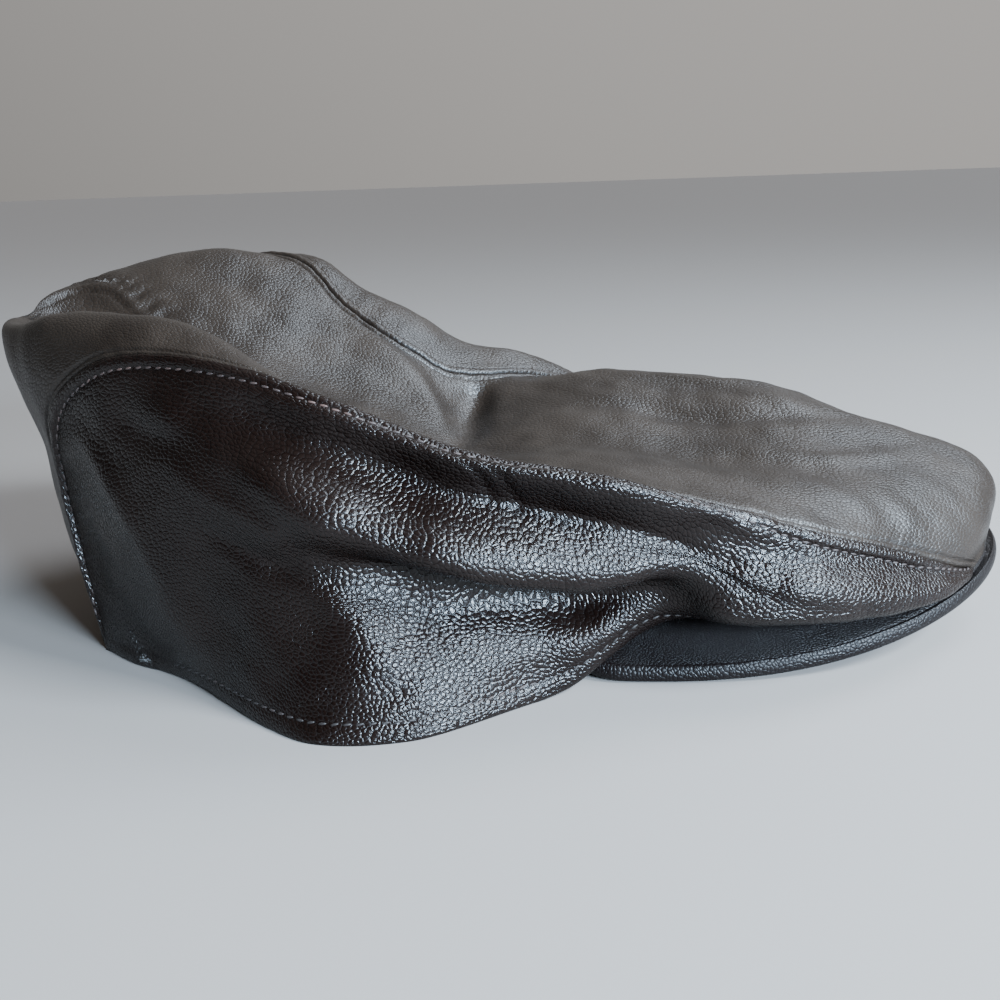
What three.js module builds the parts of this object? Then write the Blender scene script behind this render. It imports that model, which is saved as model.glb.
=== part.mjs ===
// A flat leather cap, lying on its rim as it falls when it is put down.
// Four leather pieces: a long top panel, two side panels and a stiff peak.
// Lengths are in millimetres. X runs to the front of the peak, Y to the cap's
// left and Z up. The rim and the sides of the peak lie on z = 0.
import * as THREE from 'three';
import { mergeVertices } from 'three/addons/utils/BufferGeometryUtils.js';

// Sizes of the crown. The length is the measure for every place along the cap.
const CROWN_LENGTH = 250;
const CROWN_HEIGHT = 100;
const RIM_WIDTH = 206;
const LEATHER_THICKNESS = 2;
const HEM_THICKNESS = 2.6;

// Sizes of the peak. The lip is what shows of it ahead of the crown.
const PEAK_WIDTH = 140;
const PEAK_DEPTH = 64;
const PEAK_THICKNESS = 3.6;
const PEAK_ARCH = 18;
const PEAK_SLOPE = 1;
const PEAK_LIP = 3;

// Clearances between neighbours.
const SEAM_GAP = 0.5;
const SEAT_GAP = 0.4;

// How finely the surfaces are divided.
const STEPS_PER_STATION = 3;
const TOP_STEPS = 20;
const SIDE_STEPS = 14;
const PEAK_STEPS = 44;
const PEAK_FLAT_STEPS = 5;
const BEAD_STEPS = 3;

// A table's rows become objects with the named columns.
function table(columns, rows) {
  return rows.map((row) => Object.fromEntries(columns.map((name, i) => [name, row[i]])));
}

// The two seams beside the top panel, from the back of the rim to the front corners.
// x is a share of the crown's length, y of half the width and z of the crown's height.
const SEAMS = table(['rightX', 'rightY', 'rightZ', 'leftX', 'leftY', 'leftZ'], [
  [-0.440, -0.505, 0.00, -0.440, 0.515, 0.00],
  [-0.456, -0.495, 0.25, -0.456, 0.510, 0.26],
  [-0.468, -0.485, 0.50, -0.468, 0.505, 0.52],
  [-0.456, -0.524, 0.68, -0.468, 0.534, 0.75],
  [-0.396, -0.612, 0.80, -0.436, 0.602, 0.91],
  [-0.328, -0.670, 0.84, -0.380, 0.600, 0.985],
  [-0.232, -0.728, 0.82, -0.300, 0.534, 0.960],
  [-0.136, -0.757, 0.74, -0.236, 0.437, 0.82],
  [-0.040, -0.767, 0.64, -0.150, 0.385, 0.68],
  [0.064, -0.830, 0.56, -0.048, 0.510, 0.52],
  [0.176, -0.955, 0.46, 0.140, 0.985, 0.43],
  [0.296, -0.985, 0.36, 0.304, 0.970, 0.345],
  [0.408, -0.770, 0.17, 0.416, 0.760, 0.175],
  [0.468, -0.620, 0.06, 0.470, 0.620, 0.07],
  [0.500, -0.490, 0.00, 0.500, 0.490, 0.00],
]);

// The top panel between its seams: how far its middle bows along the cap, as a share
// of the length, and its heights at the five inner places across.
const ACROSS = [0, 0.13, 0.32, 0.5, 0.68, 0.87, 1];
const BOW_POWER = 2.4;
const CROWN = table(['bow', 'z1', 'z2', 'z3', 'z4', 'z5'], [
  [-0.062, 0.00, 0.00, 0.00, 0.00, 0.00],
  [-0.062, 0.25, 0.25, 0.25, 0.25, 0.25],
  [-0.078, 0.52, 0.54, 0.55, 0.54, 0.53],
  [-0.126, 0.75, 0.83, 0.85, 0.87, 0.83],
  [-0.138, 0.895, 0.85, 0.85, 0.93, 0.98],
  [-0.086, 0.92, 0.80, 0.785, 0.895, 1.01],
  [-0.056, 0.86, 0.72, 0.69, 0.765, 0.90],
  [-0.036, 0.70, 0.61, 0.585, 0.63, 0.745],
  [-0.016, 0.59, 0.515, 0.49, 0.515, 0.605],
  [0.000, 0.50, 0.425, 0.395, 0.405, 0.445],
  [0.008, 0.38, 0.27, 0.29, 0.37, 0.46],
  [0.024, 0.305, 0.25, 0.295, 0.345, 0.38],
  [0.052, 0.205, 0.215, 0.24, 0.24, 0.225],
  [0.074, 0.105, 0.145, 0.165, 0.15, 0.11],
  [0.040, 0.00, 0.00, 0.00, 0.00, 0.00],
]);

// The lower edge, the same on both sides, as shares of the length and half the width.
// Its rise, a share of the crown's height, is how far it stands off what is under it.
const LOWER_EDGE = table(['x', 'y', 'rise'], [
  [-0.440, 0.510, 0],
  [-0.388, 0.605, 0],
  [-0.352, 0.645, 0],
  [-0.320, 0.690, 0],
  [-0.288, 0.750, 0],
  [-0.252, 0.830, 0],
  [-0.204, 0.930, 0],
  [-0.148, 1.000, 0],
  [-0.066, 0.978, 0],
  [0.050, 0.848, 0],
  [0.152, 0.840, 0.065],
  [0.232, 0.825, 0.02],
  [0.384, 0.730, 0],
  [0.464, 0.600, 0],
  [0.500, 0.490, 0],
]);

// How far each side panel bulges out at four heights, and how far its top rolls up
// past the seam, as shares of the crown's height.
const BULGE_HEIGHTS = [0, 0.2, 0.4, 0.6, 0.8, 0.93, 1];
const RIGHT_BULGE = table(['low', 'mid', 'high', 'top', 'crest'], [
  [0.00, 0.00, 0.00, 0.00, 0.00],
  [0.00, 0.00, 0.00, 0.00, 0.00],
  [0.01, 0.01, 0.00, 0.00, 0.00],
  [0.02, 0.02, 0.01, 0.00, 0.00],
  [0.02, 0.03, 0.03, 0.01, 0.00],
  [0.00, 0.01, 0.03, 0.02, 0.00],
  [-0.02, -0.01, 0.03, 0.03, 0.01],
  [-0.04, -0.06, 0.02, 0.05, 0.03],
  [-0.04, -0.08, 0.03, 0.07, 0.05],
  [-0.02, -0.05, 0.06, 0.08, 0.05],
  [0.03, 0.05, 0.10, 0.08, 0.04],
  [0.16, 0.17, 0.14, 0.06, 0.00],
  [0.10, 0.10, 0.07, 0.03, 0.00],
  [0.04, 0.04, 0.03, 0.01, 0.00],
  [0.00, 0.00, 0.00, 0.00, 0.00],
]);
const LEFT_BULGE = table(['low', 'mid', 'high', 'top', 'crest'], [
  [0.00, 0.00, 0.00, 0.00, 0.00],
  [0.00, 0.00, 0.00, 0.00, 0.00],
  [0.01, 0.01, 0.00, 0.00, 0.00],
  [0.02, 0.02, 0.01, 0.00, 0.00],
  [0.02, 0.03, 0.03, 0.01, 0.00],
  [0.01, 0.02, 0.05, 0.05, 0.03],
  [0.00, 0.01, 0.06, 0.09, 0.07],
  [0.02, 0.04, 0.09, 0.16, 0.10],
  [0.04, 0.09, 0.16, 0.25, 0.125],
  [0.05, 0.10, 0.16, 0.22, 0.10],
  [0.06, 0.08, 0.08, 0.05, 0.01],
  [0.16, 0.17, 0.14, 0.06, 0.00],
  [0.10, 0.10, 0.07, 0.03, 0.00],
  [0.04, 0.04, 0.03, 0.01, 0.00],
  [0.00, 0.00, 0.00, 0.00, 0.00],
]);

// Folds and dents. Each runs on a panel through three places, given by station and by
// share across it. Width and depth are shares of the crown's height; a dent is negative.
const FOLDS = table(
  ['panel', 'u1', 'v1', 'u2', 'v2', 'u3', 'v3', 'width', 'depth'],
  [
    ['right', 5.6, 0.70, 8.4, 0.70, 10.9, 0.50, 0.07, -0.07],
    ['right', 5.0, 0.70, 7.4, 0.54, 9.6, 0.44, 0.08, 0.05],
    ['right', 6.8, 0.46, 8.3, 0.42, 10.2, 0.26, 0.06, -0.08],
    ['right', 6.75, 0.44, 7.3, 0.28, 7.7, 0.10, 0.10, 0.05],
    ['left', 6.0, 0.70, 8.0, 0.62, 10.5, 0.50, 0.08, -0.05],
    ['top', 8.95, 0.98, 8.8, 0.86, 8.55, 0.60, 0.06, -0.045],
    ['top', 7.4, 0.92, 8.1, 0.84, 8.5, 0.70, 0.06, 0.025],
  ],
);
const FOLD_STEPS = 12;
const FOLD_EDGE = 0.08;

// How far from a seam its mitre reaches, in wall thicknesses, and how much of a narrow
// panel's height its hem may take.
const MITRE_REACH = 2.5;
const HEM_PARING = 0.4;

// The lower edge is on the floor up to one station and on the peak from the next. The
// crown above it rises more slowly, and the whole cap narrows to the peak's width.
const LEAVES_FLOOR = 9.2;
const MEETS_PEAK = 9.8;
const RISES_FROM = 8.3;
const RISES_TO = 10;
const NARROWS_FROM = 8;
const NARROWS_TO = 11;

// The line inside the cap that its sides bulge away from, and the peak's widest place
// and horns, as shares of the crown's length. The peak's inner width is a share of its own.
const SPINE_SHARE = 0.24;
const PEAK_CENTRE_SHARE = 0.132;
const HORN_SHARE = 0.128;
const HORN_ANGLE = THREE.MathUtils.degToRad(125);
const INNER_SHARE = 0.725;
const ARCH_POWER = 2.5;

// How full the peak's corners are: 2 would be an ellipse.
const FULLNESS = 2.3;

const lastStation = SEAMS.length - 1;
const crownFront = (SEAMS[lastStation].rightX + CROWN[lastStation].bow) * CROWN_LENGTH;
const peakFront = crownFront + PEAK_LIP;
const peakCentre = PEAK_CENTRE_SHARE * CROWN_LENGTH;
const peakReach = peakFront - peakCentre;
const spineReach = SPINE_SHARE * CROWN_LENGTH;
const peakLift = -Math.min(...peakAngles().map((angle) => peakSag(peakEdge(angle)))) + PEAK_THICKNESS;

// A smooth value through a column of numbers, one for each station.
function smooth(values, place) {
  const last = values.length - 1;
  const i = Math.min(Math.floor(place), last - 1);
  const t = place - i;
  const p1 = values[i];
  const p2 = values[i + 1];
  const p0 = i > 0 ? values[i - 1] : 2 * p1 - p2;
  const p3 = i + 1 < last ? values[i + 2] : 2 * p2 - p1;
  const a = 2 * p1;
  const b = p2 - p0;
  const c = 2 * p0 - 5 * p1 + 4 * p2 - p3;
  const d = 3 * p1 - p0 - 3 * p2 + p3;
  return 0.5 * (a + b * t + c * t * t + d * t * t * t);
}

function column(rows, name, station) {
  return smooth(rows.map((row) => row[name]), station);
}

// A smooth point through a short list of points, with place from 0 to 1.
function smoothPoint(points, place) {
  const at = place * (points.length - 1);
  return new THREE.Vector3(
    smooth(points.map((p) => p.x), at),
    smooth(points.map((p) => p.y), at),
    smooth(points.map((p) => p.z), at),
  );
}

// The peak is a half ellipse with short horns behind its widest place.
function peakAngles() {
  return Array.from({ length: PEAK_STEPS + 1 }, (_, i) => HORN_ANGLE * (2 * i / PEAK_STEPS - 1));
}

function peakEdge(angle, frontReach = peakReach, halfWidth = PEAK_WIDTH / 2) {
  const reach = Math.cos(angle) > 0 ? frontReach : HORN_SHARE * CROWN_LENGTH;
  const full = (value) => Math.sign(value) * Math.abs(value) ** (2 / FULLNESS);
  return { x: peakCentre + reach * full(Math.cos(angle)), y: halfWidth * full(Math.sin(angle)) };
}

// How far the peak's top lies above its middle: it falls to the front and the sides.
function peakSag({ x, y }) {
  const forward = (x - peakCentre) / peakReach;
  const aside = Math.min(Math.abs(y) / (PEAK_WIDTH / 2), 1);
  return -PEAK_SLOPE * forward - PEAK_ARCH * aside ** ARCH_POWER;
}

function peakTop(point) {
  return peakLift + peakSag(point);
}

// What the lower edge lies on at a station: the floor at the back, the peak in front.
function seat(station, point) {
  const onPeak = THREE.MathUtils.smoothstep(station, LEAVES_FLOOR, MEETS_PEAK);
  return onPeak * (peakTop(point) + SEAT_GAP);
}

// What the crown's heights count from.
function base(station, point) {
  return THREE.MathUtils.smoothstep(station, RISES_FROM, RISES_TO) * (peakTop(point) + SEAT_GAP);
}

function halfWidth(station) {
  const narrowing = THREE.MathUtils.smoothstep(station, NARROWS_FROM, NARROWS_TO);
  return THREE.MathUtils.lerp(RIM_WIDTH, PEAK_WIDTH, narrowing) / 2;
}

function seamPoint(side, station) {
  const x = column(SEAMS, `${side}X`, station) * CROWN_LENGTH;
  const y = column(SEAMS, `${side}Y`, station) * halfWidth(station);
  const point = new THREE.Vector3(x, y, column(SEAMS, `${side}Z`, station) * CROWN_HEIGHT);
  point.z += base(station, point);
  return point;
}

function standOff(station) {
  return Math.max(column(LOWER_EDGE, 'rise', station), 0) * CROWN_HEIGHT;
}

function lowerEdgePoint(side, station) {
  const x = column(LOWER_EDGE, 'x', station) * CROWN_LENGTH;
  const y = column(LOWER_EDGE, 'y', station) * halfWidth(station);
  const point = new THREE.Vector3(x, side === 'right' ? -y : y, standOff(station));
  point.z += seat(station, point);
  return point;
}

// A point of the top panel, from the right seam (across 0) to the left one (across 1).
function topPoint(station, across) {
  const right = seamPoint('right', station);
  const left = seamPoint('left', station);
  const bow = column(CROWN, 'bow', station) * CROWN_LENGTH;
  const points = ACROSS.map((share, i) => {
    const point = right.clone().lerp(left, share);
    point.x += bow * (1 - Math.abs(2 * share - 1) ** BOW_POWER);
    if (i > 0 && i < ACROSS.length - 1) {
      point.z = base(station, point) + column(CROWN, `z${i}`, station) * CROWN_HEIGHT;
    }
    return point;
  });
  return smoothPoint(points, across);
}

// A point of a side panel, from the lower edge (up 0) to the seam (up 1).
function sidePoint(side, station, up) {
  const bulges = side === 'right' ? RIGHT_BULGE : LEFT_BULGE;
  const seam = seamPoint(side, station);
  const low = lowerEdgePoint(side, station);
  const middle = seam.clone().lerp(low, 0.5);
  const spine = THREE.MathUtils.clamp(middle.x, -spineReach, spineReach);
  const outward = new THREE.Vector3(middle.x - spine, middle.y, 0).normalize();
  const amount = (name) => column(bulges, name, station) * CROWN_HEIGHT;
  const crest = amount('crest');
  const shifts = [
    [0, 0],
    [amount('low'), 0],
    [amount('mid'), 0],
    [amount('high'), 0],
    [amount('top'), 0.35 * crest],
    [0.5 * amount('top') + 0.6 * crest, crest],
    [0, 0],
  ];
  const points = BULGE_HEIGHTS.map((share, i) => {
    const point = low.clone().lerp(seam, share);
    point.addScaledVector(outward, shifts[i][0]);
    point.z += shifts[i][1];
    return point;
  });
  return smoothPoint(points, up);
}

// The normals of a grid of points, each the mean of the faces around it.
function gridNormals(grid) {
  const normals = grid.map((row) => row.map(() => new THREE.Vector3()));
  for (let i = 0; i + 1 < grid.length; i += 1) {
    for (let j = 0; j + 1 < grid[i].length; j += 1) {
      const across = grid[i + 1][j + 1].clone().sub(grid[i][j]);
      const back = grid[i][j + 1].clone().sub(grid[i + 1][j]);
      const normal = across.cross(back);
      for (const [a, b] of [[i, j], [i + 1, j], [i, j + 1], [i + 1, j + 1]]) {
        normals[a][b].add(normal);
      }
    }
  }
  normals.forEach((row) => row.forEach((normal) => normal.normalize()));
  return normals;
}

// How far a fold lifts a point of the surface, by its distance from the fold's line.
function foldLift(fold, surface, point) {
  const line = foldLine(fold, surface);
  let nearest = Infinity;
  let along = 0;
  for (let i = 0; i + 1 < line.length; i += 1) {
    const part = new THREE.Line3(line[i], line[i + 1]);
    const share = part.closestPointToPointParameter(point, true);
    const distance = part.at(share, new THREE.Vector3()).distanceTo(point);
    if (distance < nearest) {
      nearest = distance;
      along = (i + share) / (line.length - 1);
    }
  }
  const width = fold.width * CROWN_HEIGHT;
  const fade = Math.sin(Math.PI * (0.1 + 0.8 * along));
  return fold.depth * CROWN_HEIGHT * fade * Math.exp(-((nearest / width) ** 2));
}

const foldLines = new Map();

function foldLine(fold, surface) {
  if (!foldLines.has(fold)) {
    const path = new THREE.SplineCurve([
      new THREE.Vector2(fold.u1, fold.v1),
      new THREE.Vector2(fold.u2, fold.v2),
      new THREE.Vector2(fold.u3, fold.v3),
    ]);
    foldLines.set(fold, path.getPoints(FOLD_STEPS).map((place) => surface(place.x, place.y)));
  }
  return foldLines.get(fold);
}

// The outer face of a panel: its smooth surface with the folds laid over it. The folds
// fade out at the seams, where the panels are sewn together.
function panelGrid(panel, surface, shares) {
  const steps = lastStation * STEPS_PER_STATION;
  const stations = Array.from({ length: steps + 1 }, (_, i) => i / STEPS_PER_STATION);
  const grid = stations.map((station) => shares.map((share) => surface(station, share)));
  const normals = gridNormals(grid);
  const folds = FOLDS.filter((fold) => fold.panel === panel);
  return grid.map((row, i) => row.map((point, j) => {
    const edge = Math.min(shares[j], 1 - shares[j]) / FOLD_EDGE;
    const lift = folds.reduce((sum, fold) => sum + foldLift(fold, surface, point), 0);
    return point.clone().addScaledVector(normals[i][j], lift * Math.min(edge, 1));
  }));
}

function evenShares(steps) {
  return Array.from({ length: steps + 1 }, (_, j) => j / steps);
}

// The inner face of a panel lies a wall's thickness under the outer one.
function innerGrid(outer) {
  const normals = gridNormals(outer);
  return outer.map((row, i) => row.map((point, j) => (
    point.clone().addScaledVector(normals[i][j], -LEATHER_THICKNESS)
  )));
}

// An edge that lies on the floor or the peak is cut level with what it lies on. The hem
// is pared down where the panel runs out to a point.
function seatEdge(panel, edge, farColumn) {
  edge.forEach(([i, j]) => {
    const station = i / STEPS_PER_STATION;
    const outer = panel.nextOuter[i][j];
    const inner = panel.nextInner[i][j];
    const height = farColumn === undefined ? Infinity : outer.distanceTo(panel.outer[i][farColumn]);
    const level = panel.normals[i][j].clone().setZ(0).normalize();
    inner.copy(outer).addScaledVector(level, -Math.min(HEM_THICKNESS, height * HEM_PARING));
    inner.z = seat(station, inner) + standOff(station);
    outer.z = seat(station, outer) + standOff(station);
  });
}

// Two panels meet along a seam. The seam is mitred: both walls end on one shared strip,
// and each is drawn back from it by half the gap.
function joinSeam(first, firstColumn, second, secondColumn) {
  const inwardOf = (panel, columnIndex, i) => {
    const next = columnIndex === 0 ? 1 : columnIndex - 1;
    const edgeRow = THREE.MathUtils.clamp(i, 1, lastStation * STEPS_PER_STATION - 1);
    return panel.outer[edgeRow][next].clone().sub(panel.outer[edgeRow][columnIndex]).normalize();
  };
  first.outer.forEach((row, i) => {
    const station = i / STEPS_PER_STATION;
    const isEnd = i === 0 || i === first.outer.length - 1;
    const normal = first.normals[i][firstColumn].clone().add(second.normals[i][secondColumn]);
    const across = inwardOf(first, firstColumn, i).sub(inwardOf(second, secondColumn, i));
    if (isEnd) {
      normal.setZ(0);
      across.setZ(0);
    }
    normal.normalize();
    across.normalize().multiplyScalar(SEAM_GAP / 2);
    const inside = row[firstColumn].clone().addScaledVector(normal, -LEATHER_THICKNESS);
    for (const [panel, index, way] of [[first, firstColumn, 1], [second, secondColumn, -1]]) {
      panel.nextOuter[i][index].copy(row[firstColumn]).addScaledVector(across, way);
      panel.nextInner[i][index].copy(inside).addScaledVector(across, way);
      if (isEnd) {
        panel.nextOuter[i][index].z = seat(station, panel.nextOuter[i][index]);
        panel.nextInner[i][index].z = seat(station, panel.nextInner[i][index]);
      }
      keepClear(panel, i, row[firstColumn], across.clone().multiplyScalar(way));
    }
  });
}

// Close to a seam no point of a panel comes nearer to the seam's plane than half the gap.
function keepClear(panel, i, seam, halfGap) {
  const reach = halfGap.length();
  const away = halfGap.clone().normalize();
  for (const point of [...panel.nextOuter[i], ...panel.nextInner[i]]) {
    const distance = point.clone().sub(seam).dot(away);
    if (distance < reach && point.distanceTo(seam) < MITRE_REACH * LEATHER_THICKNESS) {
      point.addScaledVector(away, reach - distance);
    }
  }
}

// A closed body between an outer and an inner face, joined round their edges.
function closedBody(outer, inner) {
  const rows = outer.length;
  const columns = outer[0].length;
  const positions = [...outer.flat(), ...inner.flat()].flatMap((p) => [p.x, p.y, p.z]);
  const outerAt = (i, j) => i * columns + j;
  const innerAt = (i, j) => rows * columns + outerAt(i, j);
  const triangles = [];
  const quad = (a, b, c, d) => triangles.push([a, b, c], [a, c, d]);
  for (let i = 0; i + 1 < rows; i += 1) {
    for (let j = 0; j + 1 < columns; j += 1) {
      quad(outerAt(i, j), outerAt(i + 1, j), outerAt(i + 1, j + 1), outerAt(i, j + 1));
      quad(innerAt(i, j), innerAt(i, j + 1), innerAt(i + 1, j + 1), innerAt(i + 1, j));
    }
    quad(outerAt(i, 0), innerAt(i, 0), innerAt(i + 1, 0), outerAt(i + 1, 0));
    const j = columns - 1;
    quad(outerAt(i, j), outerAt(i + 1, j), innerAt(i + 1, j), innerAt(i, j));
  }
  for (let j = 0; j + 1 < columns; j += 1) {
    quad(outerAt(0, j), outerAt(0, j + 1), innerAt(0, j + 1), innerAt(0, j));
    const i = rows - 1;
    quad(outerAt(i, j), innerAt(i, j), innerAt(i, j + 1), outerAt(i, j + 1));
  }
  const loose = new THREE.BufferGeometry();
  loose.setAttribute('position', new THREE.Float32BufferAttribute(positions, 3));
  loose.setIndex(triangles.flat());
  return withoutSlivers(mergeVertices(loose, 1e-3));
}

// Where a face runs out to a point its triangles lose a corner, and are left out.
function withoutSlivers(geometry) {
  const index = Array.from(geometry.getIndex().array);
  const kept = [];
  for (let i = 0; i < index.length; i += 3) {
    const [a, b, c] = index.slice(i, i + 3);
    if (a !== b && b !== c && c !== a) {
      kept.push(a, b, c);
    }
  }
  geometry.setIndex(kept);
  geometry.computeVertexNormals();
  return geometry;
}

function leather(colour, roughness) {
  return new THREE.MeshStandardMaterial({ color: colour, roughness, metalness: 0 });
}

// One panel's faces before the seams are joined.
function startPanel(panel, surface, shares) {
  const outer = panelGrid(panel, surface, shares);
  const normals = gridNormals(outer);
  const nextOuter = outer.map((row) => row.map((point) => point.clone()));
  const nextInner = innerGrid(outer);
  return { outer, normals, nextOuter, nextInner };
}

function finishPanel(name, panel, material) {
  const mesh = new THREE.Mesh(closedBody(panel.nextOuter, panel.nextInner), material);
  mesh.name = name;
  return mesh;
}

// No point of a panel lies lower than the floor or the peak under it.
function keepAbove(panel) {
  for (const face of [panel.nextOuter, panel.nextInner]) {
    face.forEach((row, i) => row.forEach((point) => {
      point.z = Math.max(point.z, seat(i / STEPS_PER_STATION, point));
    }));
  }
}

// A side panel runs out to a point at both ends, so each end's points are one.
function gatherEnds(panel, seamColumn) {
  for (const face of [panel.nextOuter, panel.nextInner]) {
    for (const row of [face[0], face[face.length - 1]]) {
      row.forEach((point) => point.copy(row[seamColumn]));
    }
  }
}

function buildCrown() {
  const up = evenShares(SIDE_STEPS);
  const down = up.map((share) => 1 - share);
  const right = startPanel('right', (s, share) => sidePoint('right', s, share), up);
  const left = startPanel('left', (s, share) => sidePoint('left', s, share), down);
  const top = startPanel('top', topPoint, evenShares(TOP_STEPS));
  const rows = top.outer.map((_, i) => i);
  const across = evenShares(TOP_STEPS).map((_, j) => j);
  const lastRow = rows.length - 1;
  seatEdge(right, rows.map((i) => [i, 0]), SIDE_STEPS);
  seatEdge(left, rows.map((i) => [i, SIDE_STEPS]), 0);
  seatEdge(top, across.map((j) => [0, j]));
  seatEdge(top, across.map((j) => [lastRow, j]));
  joinSeam(top, 0, right, SIDE_STEPS);
  joinSeam(top, TOP_STEPS, left, 0);
  gatherEnds(right, SIDE_STEPS);
  gatherEnds(left, 0);
  [right, left, top].forEach(keepAbove);
  return [
    finishPanel('top_panel', top, leather('#3d332e', 0.45)),
    finishPanel('side_panel_right', right, leather('#241c19', 0.4)),
    finishPanel('side_panel_left', left, leather('#2a211d', 0.42)),
  ];
}

// The peak is a curved plate whose outer edge is rounded over a half round bead.
function buildPeak() {
  const bead = PEAK_THICKNESS / 2;
  const flat = evenShares(PEAK_FLAT_STEPS);
  const outer = [];
  const inner = [];
  for (const angle of peakAngles()) {
    const edge = new THREE.Vector2().copy(peakEdge(angle));
    const innerReach = peakReach - PEAK_DEPTH;
    const start = new THREE.Vector2().copy(peakEdge(angle, innerReach, INNER_SHARE * PEAK_WIDTH / 2));
    const way = edge.clone().sub(start).normalize();
    const beadStart = edge.clone().addScaledVector(way, -bead);
    const places = flat.map((share) => ({ at: start.clone().lerp(beadStart, share), half: bead }));
    for (let k = 1; k <= BEAD_STEPS; k += 1) {
      const turn = (Math.PI / 2) * (k / BEAD_STEPS);
      const at = beadStart.clone().addScaledVector(way, bead * Math.sin(turn));
      places.push({ at, half: bead * Math.cos(turn) });
    }
    places.reverse();
    const middle = (at) => peakTop(at) - bead;
    outer.push(places.map(({ at, half }) => new THREE.Vector3(at.x, at.y, middle(at) + half)));
    inner.push(places.map(({ at, half }) => new THREE.Vector3(at.x, at.y, middle(at) - half)));
  }
  const mesh = new THREE.Mesh(closedBody(outer, inner), leather('#1f1815', 0.38));
  mesh.name = 'peak';
  return mesh;
}

const cap = new THREE.Group();
cap.add(...buildCrown(), buildPeak());

// The origin is the middle of the cap's footprint, on the floor.
const size = new THREE.Box3().setFromObject(cap);
const centre = size.getCenter(new THREE.Vector3());
cap.children.forEach((mesh) => mesh.position.set(-centre.x, -centre.y, -size.min.z));

export default cap;
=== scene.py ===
import math

import bmesh
import bpy
import numpy as np
from mathutils import Matrix, Vector


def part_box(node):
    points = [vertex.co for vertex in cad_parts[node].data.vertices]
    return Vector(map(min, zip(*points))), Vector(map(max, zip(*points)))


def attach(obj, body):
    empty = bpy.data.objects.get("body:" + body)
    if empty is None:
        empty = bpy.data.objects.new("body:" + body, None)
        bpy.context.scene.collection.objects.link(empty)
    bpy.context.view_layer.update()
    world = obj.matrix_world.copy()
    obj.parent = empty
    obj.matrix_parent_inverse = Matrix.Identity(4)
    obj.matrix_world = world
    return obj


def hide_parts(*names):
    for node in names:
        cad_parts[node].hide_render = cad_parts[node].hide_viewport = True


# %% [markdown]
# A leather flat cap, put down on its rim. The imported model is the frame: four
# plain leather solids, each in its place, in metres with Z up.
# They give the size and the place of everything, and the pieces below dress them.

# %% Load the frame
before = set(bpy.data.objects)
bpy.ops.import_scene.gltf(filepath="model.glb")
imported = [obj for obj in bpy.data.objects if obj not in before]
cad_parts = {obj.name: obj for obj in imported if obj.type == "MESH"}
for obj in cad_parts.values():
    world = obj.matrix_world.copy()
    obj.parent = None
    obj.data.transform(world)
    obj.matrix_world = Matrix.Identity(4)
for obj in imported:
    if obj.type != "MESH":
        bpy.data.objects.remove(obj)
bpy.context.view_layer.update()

# %% [markdown]
# The cap's sizes, in millimetres, are the ones that its solids were made from.
# The solids were moved along X at the end, so that the middle of the cap's box is
# the origin. The front of the peak tells how far.

# %% Sizes of the cap
CROWN_LENGTH = 250
CROWN_HEIGHT = 100
RIM_WIDTH = 206
LEATHER_THICKNESS = 2
PEAK_WIDTH = 140
PEAK_DEPTH = 64
PEAK_THICKNESS = 3.6
PEAK_ARCH = 18
PEAK_SLOPE = 1
PEAK_LIP = 3
SEAT_GAP = 0.1
MM = 0.001

peak_front = (0.500 + 0.040) * CROWN_LENGTH + PEAK_LIP
frame_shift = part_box("peak")[1][0] / MM - peak_front
print("frame shift along X, mm", round(frame_shift, 2))

# %% [markdown]
# The cap's soft shape is held by a few tables. Each row is a station, counted from
# the back of the rim, over the crown, to the front.
# A cloth simulation could drop the cap, but it would find its own folds and not
# these. Stations through the folds give the shape that the cap really lies in.
# SEAMS holds the two seams beside the top panel: x as a share of the length, y of
# half the width and z of the height, for the right seam and then the left one.

# %% The two long seams
SEAMS = np.array([
    [-0.440, -0.505, 0, -0.440, 0.515, 0],
    [-0.456, -0.495, 0.25, -0.456, 0.510, 0.26],
    [-0.468, -0.485, 0.50, -0.468, 0.505, 0.52],
    [-0.456, -0.524, 0.68, -0.468, 0.534, 0.75],
    [-0.396, -0.612, 0.80, -0.436, 0.602, 0.91],
    [-0.328, -0.670, 0.84, -0.380, 0.600, 0.985],
    [-0.232, -0.728, 0.82, -0.300, 0.534, 0.960],
    [-0.136, -0.757, 0.74, -0.236, 0.437, 0.82],
    [-0.040, -0.767, 0.64, -0.150, 0.385, 0.68],
    [0.064, -0.830, 0.56, -0.048, 0.510, 0.52],
    [0.176, -0.955, 0.46, 0.140, 0.985, 0.43],
    [0.296, -0.985, 0.36, 0.304, 0.970, 0.345],
    [0.408, -0.770, 0.17, 0.416, 0.760, 0.175],
    [0.468, -0.620, 0.06, 0.470, 0.620, 0.07],
    [0.500, -0.490, 0, 0.500, 0.490, 0],
])
LAST_STATION = len(SEAMS) - 1
print("stations from 0 to", LAST_STATION)

# %% [markdown]
# CROWN is the top panel between its seams: how far its middle bows forward, as a
# share of the length, and five heights across it, as shares of the crown's height.

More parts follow.
